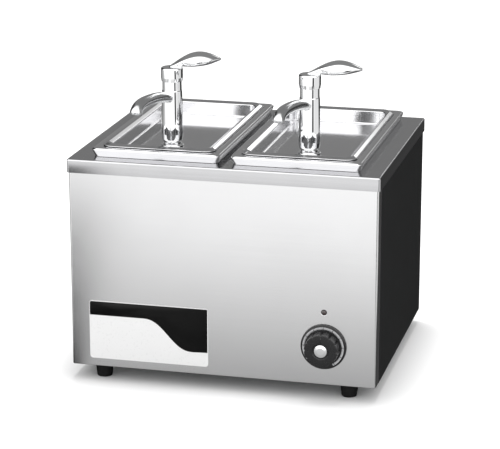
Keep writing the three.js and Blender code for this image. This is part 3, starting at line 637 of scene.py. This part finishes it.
SPRING_WIRE = 0.8  # radius of the spring's wire
SPRING_TURNS, SPRING_STEPS = 5, 32  # its turns, and the steps in each


def return_spring(side, sign):
    """The coil round the plunger's rod, riding on the plunger, with a mesh of its own."""
    skin = Skin()
    node = f"return_spring_{side}"
    (_, _, z0), (_, _, z1) = box_mm(node)
    length = z1 - z0
    coil = size_mm(node)[0] / 2 - SPRING_WIRE
    count = SPRING_TURNS * SPRING_STEPS
    rows = []
    for i in range(count + 1):
        a = 2 * math.pi * i / SPRING_STEPS
        z = z0 + SPRING_WIRE + (length - 2 * SPRING_WIRE) * i / count
        rows.append([((coil + out) * math.cos(a), (coil + out) * math.sin(a), z - drop)
                     for out, drop, _ in circle_ring(SPRING_WIRE, 0.0, count=12)])
    loops = skin.loft(rows)
    skin.cap(loops[0], flip=True)
    skin.cap(loops[-1])
    x, y = sign * PAN_X, PUMP_Y
    piece = skin.build(f"spring_coil_{side}", f"plunger_{side}", "zinc_sheet", ZINC, [node],
                       upright(x, y), sharp=60)
    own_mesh(piece)


WING_START, WING_LENGTH = -3.0, 73.0  # the palm rest along its own line, from the pump's axis
WING_STEPS, WING_COUNT = 44, 30  # rows along it and spans across its arch


def wing_section(s):
    """Half width, crown height and edge height of the palm rest at s along it."""
    half = 4 + 11.5 * abs(math.sin(math.pi * s ** 1.15)) ** 0.8
    crown = 1.4 + 16.3 * math.sin(math.pi * 0.86 * s) ** 1.2
    return half, crown, -0.5 + 5 * s ** 4


def wing_row(s, inside):
    """One section of the palm rest at s: an arch whose sides lean in at the nose and curl under."""
    half, crown, edge = wing_section(s)
    ease = min(1.0, max(0.0, (s - 0.10) / 0.34))
    lean = 0.4 + 0.6 * ease * ease * (3 - 2 * ease)
    thin = min(2.0, 0.4 * (crown - edge), 0.4 * half) if inside else 0.0
    curl = min(4.0, 0.5 * (crown - edge), 0.4 * half)
    low = edge + curl
    arch = []
    for k in range(WING_COUNT + 1):
        a = math.pi * k / WING_COUNT
        spread = lean + (1 - lean) * math.sin(a) ** 0.6
        arch.append(((half - thin) * math.cos(a) * spread,
                     low + (crown - thin - low) * math.sin(a) ** 0.8))
    base = half * lean
    if inside:
        under = [(arch[0][0] - 0.3 * curl, edge + 0.7 * curl),
                 (max(0.15, base - curl - 0.4), edge + 0.5)]
    else:
        under = [(base - 0.3 * curl, edge + 0.45 * curl), (base - curl, edge)]
    section = [*under[::-1], *arch, *[(-y, z) for y, z in under]]
    return [(WING_START + WING_LENGTH * s, y, COLLAR_TOP + z) for y, z in section]


def palm_rest(side, sign):
    """A domed wing, hollow below, from the collar to a tail that turns down."""
    skin = Skin()
    places = [i / WING_STEPS for i in range(WING_STEPS + 1)]
    a = skin.loft([wing_row(s, inside=False) for s in places], closed=False)
    outer_faces = len(skin.faces)
    b = skin.loft([wing_row(s, inside=True) for s in places], closed=False)
    skin.faces[outer_faces:] = [tuple(reversed(face)) for face in skin.faces[outer_faces:]]
    last = len(a[0]) - 1
    for i in range(WING_STEPS):
        for k in (0, last):
            face = (a[i][k], a[i + 1][k], b[i + 1][k], b[i][k])
            skin.cap(face, flip=k == 0)
    for k in range(last):
        skin.cap((a[0][k], b[0][k], b[0][k + 1], a[0][k + 1]))
        skin.cap((a[-1][k + 1], b[-1][k + 1], b[-1][k], a[-1][k]))
    skin.build(f"palm_rest_{side}", f"plunger_{side}", "chrome", CHROME,
               [f"pump_handle_{side}"], upright(sign * PAN_X, PUMP_Y, HANDLE_TURNS[side]), sharp=65)


# ---------------------------------------------------------------- thermostat knob
GRIP_TOP = 20.5  # end of the grip, out from the panel


def knob_piece(skin, name, material, replaces=(), thick=0.0):
    """One piece of the knob, drawn with +Z out from the panel."""
    slot = "chrome" if material is CHROME else "black_plastic"
    skin.build(name, "thermostat_dial", slot, material, replaces, facing_front("thermostat_knob"),
               thick=thick)


def knob_skirt():
    """The flat skirt under the grip."""
    skin = Skin()
    skin.turned(rounded_path(
        [(3.3, 0, 0), (31.0, 0, 0.4), (31.0, 1.6, 0.8), (28.6, 3.0, 0.5), (24.0, 3.4, 0.3),
         (22.0, 3.6, 0)], 4), 96)
    knob_piece(skin, "knob_skirt", PLASTIC)


def knob_grip():
    """The grip, with twelve flutes round its side."""
    skin = Skin()
    count = 144
    rows = []
    for r, z in rounded_path([(23.6, 3.0, 0), (22.6, 18.2, 0), (22.4, GRIP_TOP, 2.0),
                              (11.4, GRIP_TOP, 0.8), (10.4, 19.2, 0.3), (3.3, 19.2, 0)], 5):
        flute = 1.5 if r > 19 else 0.0
        row = []
        for k in range(count):
            a = 2 * math.pi * k / count
            fluted = r - flute * max(0.0, math.cos(12 * a)) ** 6
            row.append((fluted * math.cos(a), fluted * math.sin(a), z))
        rows.append(row)
    skin.loft(rows)
    knob_piece(skin, "knob_grip", PLASTIC, ["thermostat_knob"])


SCALE_IN, SCALE_OUT = 25.2, 28.2  # radii of the scale's ring on the skirt


def knob_scale():
    """A light ring round the grip, over 300 of its 360 degrees."""
    skin = Skin()
    angles = [math.radians(-60 + 300 * k / 90) for k in range(91)]
    skin.loft([[(r * math.cos(a), r * math.sin(a), z) for a in angles]
               for r, z in ((SCALE_OUT, 3.16), (SCALE_IN, 3.40))], closed=False)
    knob_piece(skin, "knob_scale", DIAL_GREY, thick=0.12)


def knob_marks():
    """Eleven plain strokes across the scale's ring."""
    skin = Skin()
    near, far, half = (SCALE_IN + 0.1, 3.48), (SCALE_OUT - 0.1, 3.26), 0.35
    for k in range(11):
        a = math.radians(-55 + 29 * k)
        out, across = Vector((math.cos(a), math.sin(a), 0)), Vector((-math.sin(a), math.cos(a), 0))
        corners = ((near, -half), (far, -half), (far, half), (near, half))
        skin.cap(skin.ring([out * r + across * w + Vector((0, 0, z)) for (r, z), w in corners]))
    knob_piece(skin, "knob_marks", PLASTIC, thick=0.05)


def knob_pointer():
    """A short bar on the grip's end."""
    skin = Skin()
    half, near, far, z = 0.7, 12.6, 19.6, GRIP_TOP + 0.12
    skin.cap(skin.ring([(-half, near, z), (half, near, z), (half, far, z), (-half, far, z)]))
    knob_piece(skin, "knob_pointer", PLASTIC, thick=0.1)


def knob_disc():
    """The low domed cap in the grip's end."""
    skin = Skin()
    skin.turned(rounded_path([(0, 19.4, 0), (8.6, 19.4, 0.2), (8.6, 20.0, 0.6), (5.0, 20.9, 3.0),
                              (0, 21.1, 0)], 6), 64)
    knob_piece(skin, "knob_disc", CHROME, ["knob_cap"])


# ---------------------------------------------------------------- pilot lamp and decal
def pilot():
    """The pilot lamp's domed lens."""
    skin = Skin()
    depth = size_mm("pilot_lens")[1]
    skin.turned(rounded_path(
        [(0, 0, 0), (3.2, 0, 0.3), (3.2, depth - 2.0, 0.3), (2.7, depth - 0.8, 0.8),
         (1.4, depth - 0.1, 0.8), (0, depth, 0)], 4), 40)
    skin.build("pilot_dome", "housing", "lens", LENS, ["pilot_lens"], facing_front("pilot_lens"))


def decal_sheet(width, height):
    """The decal's white field, with rounded corners."""
    skin = Skin()
    loops = skin.loft([rect_ring((width, height), inset, 4.0 - inset, z)
                       for inset, z in ((0.0, 0.0), (0.0, 0.26), (0.12, 0.38))])
    skin.cap(loops[0], flip=True)
    skin.cap(loops[-1])
    skin.build("decal_sheet", "housing", "decal", LABEL_WHITE, ["decal_plate"],
               facing_front("decal_plate"))


def decal_band(width, height):
    """A black band along the top that swings down in an S to a deeper one on the right."""
    # The white margins round the band, widest along the top and the right, are printed white and
    # also a painted highlight along the decal's top and right edges.
    left, right, top = -width / 2 + 0.7, width / 2 - 0.9, height / 2 - 1.1
    shallow, deep = height / 2 - 20.5, height / 2 - 63.0
    bend_start, bend_length = -width / 2 + 74.0, 73.0
    curve = []
    for k in range(33):
        t = k / 32
        ease = t * t * t * (t * (6 * t - 15) + 10)
        curve.append((bend_start + bend_length * t, shallow + (deep - shallow) * ease))
    right_corner = arc(right - 1.2, top - 1.2, 1.2, 0, 90, 4)
    left_corner = arc(left + 2.6, top - 2.6, 2.6, 90, 180, 6)
    outline = [(left, shallow), *curve, (right, deep + 0.6), *right_corner, *left_corner]
    skin = Skin()
    skin.fill([skin.ring([(x, y, 0.42) for x, y in outline])])
    skin.build("decal_band", "housing", "decal", LABEL_BLACK, (), facing_front("decal_plate"),
               thick=0.03)


# ---------------------------------------------------------------- feet, screws and the gland
def foot(corner):
    """A moulded foot: a tapered block on a rounded pad, hollow from below."""
    skin = Skin()
    x, y, _ = middle_mm(f"foot_{corner}")
    skin.turned(rounded_path(
        [(5.0, 8.0, 0), (5.0, 0.0, 0.8), (10.3, 0.0, 1.4), (10.9, 5.4, 0.5), (10.5, 6.0, 0.4),
         (11.1, 6.6, 0.5), (12.0, 15.0, 0.5), (12.5, 16.0, 0.5), (12.5, 19.7, 0.6),
         (2.6, 19.7, 0.3), (2.6, 8.0, 0.2), (5.0, 8.0, 0)], 4), 56)
    skin.build(f"foot_bumper_{corner}", "housing", "rubber", RUBBER, [f"foot_{corner}"],
               upright(x, y))


def panel_screw(number):
    """A pan head with a cross recess, on its shank."""
    skin = Skin()
    count = 48
    rows = []
    for r, z in rounded_path([(2.0, -9.0, 0), (2.0, 0.3, 0.1), (3.8, 0.3, 0.3), (3.6, 1.5, 0.9),
                              (1.9, 2.5, 0.6), (0.9, 2.5, 0)], 4):
        recess = 1.1 if 0.5 < r < 2.3 and z > 1 else 0.0
        row = []
        for k in range(count):
            a = 2 * math.pi * k / count
            arm = max(abs(math.cos(2 * a)) - 0.9, 0) * 10
            row.append((r * math.cos(a), r * math.sin(a), z - recess * arm))
        rows.append(row)
    rows.append([(0.5 * x / 0.9, 0.5 * y / 0.9, 1.3) for x, y, _ in rows[-1]])
    loops = skin.loft(rows)
    skin.cap(loops[0], flip=True)
    skin.cap(loops[-1])
    node = f"panel_screw_{number}"
    skin.build(f"panel_fixing_{number}", "housing", "zinc_sheet", ZINC, [node], facing_back(node))


def gland():
    """A strain relief: a flange on the panel, a neck inside it and four ribs outside."""
    k = (box_mm("cord_gland")[1][1] - BACK_Y) / 24.0
    bore, neck = 3.6, 7.9
    path = [(bore, 24 * k, 0.4), (bore, -10 * k, 0.3), (neck, -10 * k, 0.3), (neck, 0.4, 0.1),
            (12.0, 0.4, 0.5), (12.0, 7 * k, 1.2), (9.0, 9 * k, 1.5)]
    for step in range(4):
        z = (11 + 2.4 * step) * k
        r = 8.4 - 0.7 * step
        path += [(r, z, 0.3), (r - 0.9, z + 0.5, 0.3), (r - 0.9, z + 1.0, 0.3),
                 (r - 0.2, z + 1.5, 0.3)]
    path += [(5.7, 24 * k, 0.6), (bore, 24 * k, 0.4)]
    skin = Skin()
    skin.turned(rounded_path(path, 3), 56)
    skin.build("lead_gland", "housing", "rubber", RUBBER, ["cord_gland"],
               facing_back("cord_gland"))


# ---------------------------------------------------------------- the pieces
deck()
front()
for side, sign in SIDES:
    pan(side, sign)
    lid(side, sign)
    lock_collar(side, sign)
    pump_post(side, sign)
    pump_lever(side, sign)
    spout(side, sign)
    handle_collar(side, sign)
    return_spring(side, sign)
    palm_rest(side, sign)
for part_of_knob in (knob_skirt, knob_grip, knob_scale, knob_marks, knob_pointer, knob_disc):
    part_of_knob()
pilot()
decal_width, _, decal_height = size_mm("decal_plate")
decal_sheet(decal_width, decal_height)
decal_band(decal_width, decal_height)
for corner in CORNERS:
    foot(corner)
for number in range(1, 5):
    panel_screw(number)
gland()

CAD_LOOKS = {
    "left_side_panel": PAINT, "right_side_panel": PAINT, "back_panel": PAINT, "base_pan": ZINC,
    "thermostat_body": PLASTIC, "thermostat_shaft": ZINC, "sensor_bulb": COPPER,
    "pilot_holder": PLASTIC, "terminal_block": NYLON,
}
for side, _ in SIDES:
    CAD_LOOKS.update({
        f"well_liner_{side}": WELL, f"heating_element_{side}": ZINC, f"pump_cylinder_{side}": BARE,
        f"intake_foot_{side}": NYLON, f"intake_ball_{side}": BARE, f"set_screw_{side}": ZINC,
        f"plunger_rod_{side}": BARE, f"piston_{side}": NYLON,
        f"piston_seal_{side}": RUBBER,
    })
for corner in CORNERS:
    CAD_LOOKS[f"foot_screw_{corner}"] = ZINC
for node, material in CAD_LOOKS.items():
    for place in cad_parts[node].material_slots:
        place.material = material


# ---------------------------------------------------------------- camera, floor and light
CAMERA_PLACE = (0.68286, -2.79432, 1.00287)
CAMERA_TILT, CAMERA_TURN = 74.11, 13.807  # degrees up from straight down, and about Z
CAMERA_LENS, CAMERA_SENSOR = 152.76, 36.0
STAGE_HALF = 30.0
WHITE = (1, 1, 1, 1)

scene = bpy.context.scene
scene.view_settings.view_transform = "Standard"


def add_camera():
    camera = bpy.data.objects.new("camera", bpy.data.cameras.new("camera"))
    camera.location = CAMERA_PLACE
    camera.rotation_euler = Euler((math.radians(CAMERA_TILT), 0.0, math.radians(CAMERA_TURN)))
    camera.data.sensor_width = CAMERA_SENSOR
    camera.data.lens = CAMERA_LENS
    scene.collection.objects.link(camera)
    scene.camera = camera


def stage_plane(name, z, material):
    """A level plane at height z, which isn't part of the object."""
    h = STAGE_HALF
    mesh = bpy.data.meshes.new(name)
    mesh.from_pydata([(-h, -h, z), (h, -h, z), (h, h, z), (-h, h, z)], [], [(0, 1, 2, 3)])
    mesh.materials.append(material)
    plane = bpy.data.objects.new(name, mesh)
    scene.collection.objects.link(plane)
    return plane


def floor():
    """The pale floor. Polished metal doesn't see it: reflection_floor stands in for it there."""
    material, _, shader = new_material("floor_white")
    shader.inputs["Base Color"].default_value = (0.92, 0.92, 0.92, 1)
    shader.inputs["Roughness"].default_value = 0.9
    shader.inputs["Specular IOR Level"].default_value = 0.0
    stage_plane("floor", 0.0, material).visible_glossy = False


def reflection_floor():
    """What polished metal sees in place of the floor: fields of light and shade round the case.

    A bearing is in radians, 0 straight ahead along -Y and positive towards +X, on the right.
    """
    material = bpy.data.materials.new("reflection_floor")
    material.use_nodes = True
    tree = material.node_tree
    tree.nodes.clear()
    place = add_node(tree, "ShaderNodeNewGeometry").outputs["Position"]
    x, y, _ = add_node(tree, "ShaderNodeSeparateXYZ", {0: place}).outputs
    bearing = calculate(tree, "ARCTAN2", x, product(tree, y, -1.0))

    level = ramp(tree, y, -0.18, -1.05, 0.40, 1.20)  # ahead: brighter further off
    slant = calculate(tree, "SUBTRACT", x, product(tree, y, 0.31))
    strip = product(tree, between(tree, slant, -0.300, -0.260, -0.150, -0.138),
                    ramp(tree, y, -1.22, -1.04))
    level = product(tree, level, ramp(tree, strip, 0.0, 1.0, 1.0, 0.15))
    dark_sector = product(tree, between(tree, bearing, 0.64, 0.72, 0.94, 1.02),
                          ramp(tree, y, -0.40, -0.55))
    level = mix(tree, dark_sector, level, 0.06)
    level = mix(tree, ramp(tree, bearing, 1.05, 1.12), level, 0.85)  # right
    level = mix(tree, ramp(tree, bearing, 2.05, 2.20), level, 0.05)  # behind, on the right
    level = mix(tree, ramp(tree, bearing, -1.95, -2.15), level, 0.10)  # behind, on the left
    under_case = product(tree, between(tree, y, -0.185, -0.165, 0.17, 0.18),
                         between(tree, x, -0.215, -0.205, 0.205, 0.215))
    level = mix(tree, under_case, level, 0.03)
    close_right = product(tree, between(tree, x, 0.205, 0.215, 0.50, 0.65),
                          between(tree, y, -0.185, -0.165, 1.00, 1.20))
    level = mix(tree, close_right, level, 0.05)

    emit = add_node(tree, "ShaderNodeEmission", {"Color": WHITE, "Strength": level})
    add_node(tree, "ShaderNodeOutputMaterial", {"Surface": emit.outputs[0]})
    plane = stage_plane("reflection_floor", -0.002, material)
    for ray in ("camera", "diffuse", "shadow", "transmission", "volume_scatter"):
        setattr(plane, f"visible_{ray}", False)


BACK_WALL, LEFT_WALL, BACK_PANEL, FRONT_SKY = 0.24, 0.04, 2.2, 1.9
FILL, BACKDROP = 0.98, 1.0


def sky():
    """Bright ahead of the object, and behind it a dim wall, darker at the left, with a lit panel.

    Only reflections see these fields: matt surfaces get an even fill and the camera sees white.
    """
    world = bpy.data.worlds.new("studio")
    scene.world = world
    world.use_nodes = True
    tree = world.node_tree
    background = tree.nodes["Background"]
    way = add_node(tree, "ShaderNodeTexCoord").outputs["Generated"]
    x, y, z = add_node(tree, "ShaderNodeSeparateXYZ", {0: way}).outputs
    wall = mix(tree, ramp(tree, x, -0.62, -0.50), LEFT_WALL, BACK_WALL)
    panel = product(
        tree, ramp(tree, y, 0.80, 0.86), between(tree, x, 0.04, 0.09, 0.17, 0.21),
        between(tree, z, 0.24, 0.29, 0.46, 0.50), ramp(tree, z, 0.44, 0.34, 0.16, 1.0),
    )
    level = mix(tree, panel, wall, BACK_PANEL)
    level = mix(tree, ramp(tree, y, 0.08, -0.22), level, FRONT_SKY)
    path = add_node(tree, "ShaderNodeLightPath")
    level = mix(tree, path.outputs["Is Diffuse Ray"], level, FILL)
    level = mix(tree, path.outputs["Is Camera Ray"], level, BACKDROP)
    tree.links.new(level, background.inputs["Strength"])
    background.inputs["Color"].default_value = WHITE


def key_light():
    """A soft square lamp overhead, a little behind the middle, that metal doesn't mirror."""
    place, target = Vector((-0.02, 0.22, 2.9)), Vector((0.0, 0.0, 0.1))
    data = bpy.data.lights.new("key_light", "AREA")
    data.shape = "RECTANGLE"
    data.size, data.size_y = 0.8, 0.8
    data.energy = 60
    lamp = bpy.data.objects.new("key_light", data)
    lamp.location = place
    lamp.rotation_euler = (target - place).to_track_quat("-Z", "Y").to_euler()
    lamp.visible_glossy = False
    scene.collection.objects.link(lamp)


add_camera()
floor()
reflection_floor()
sky()
key_light()
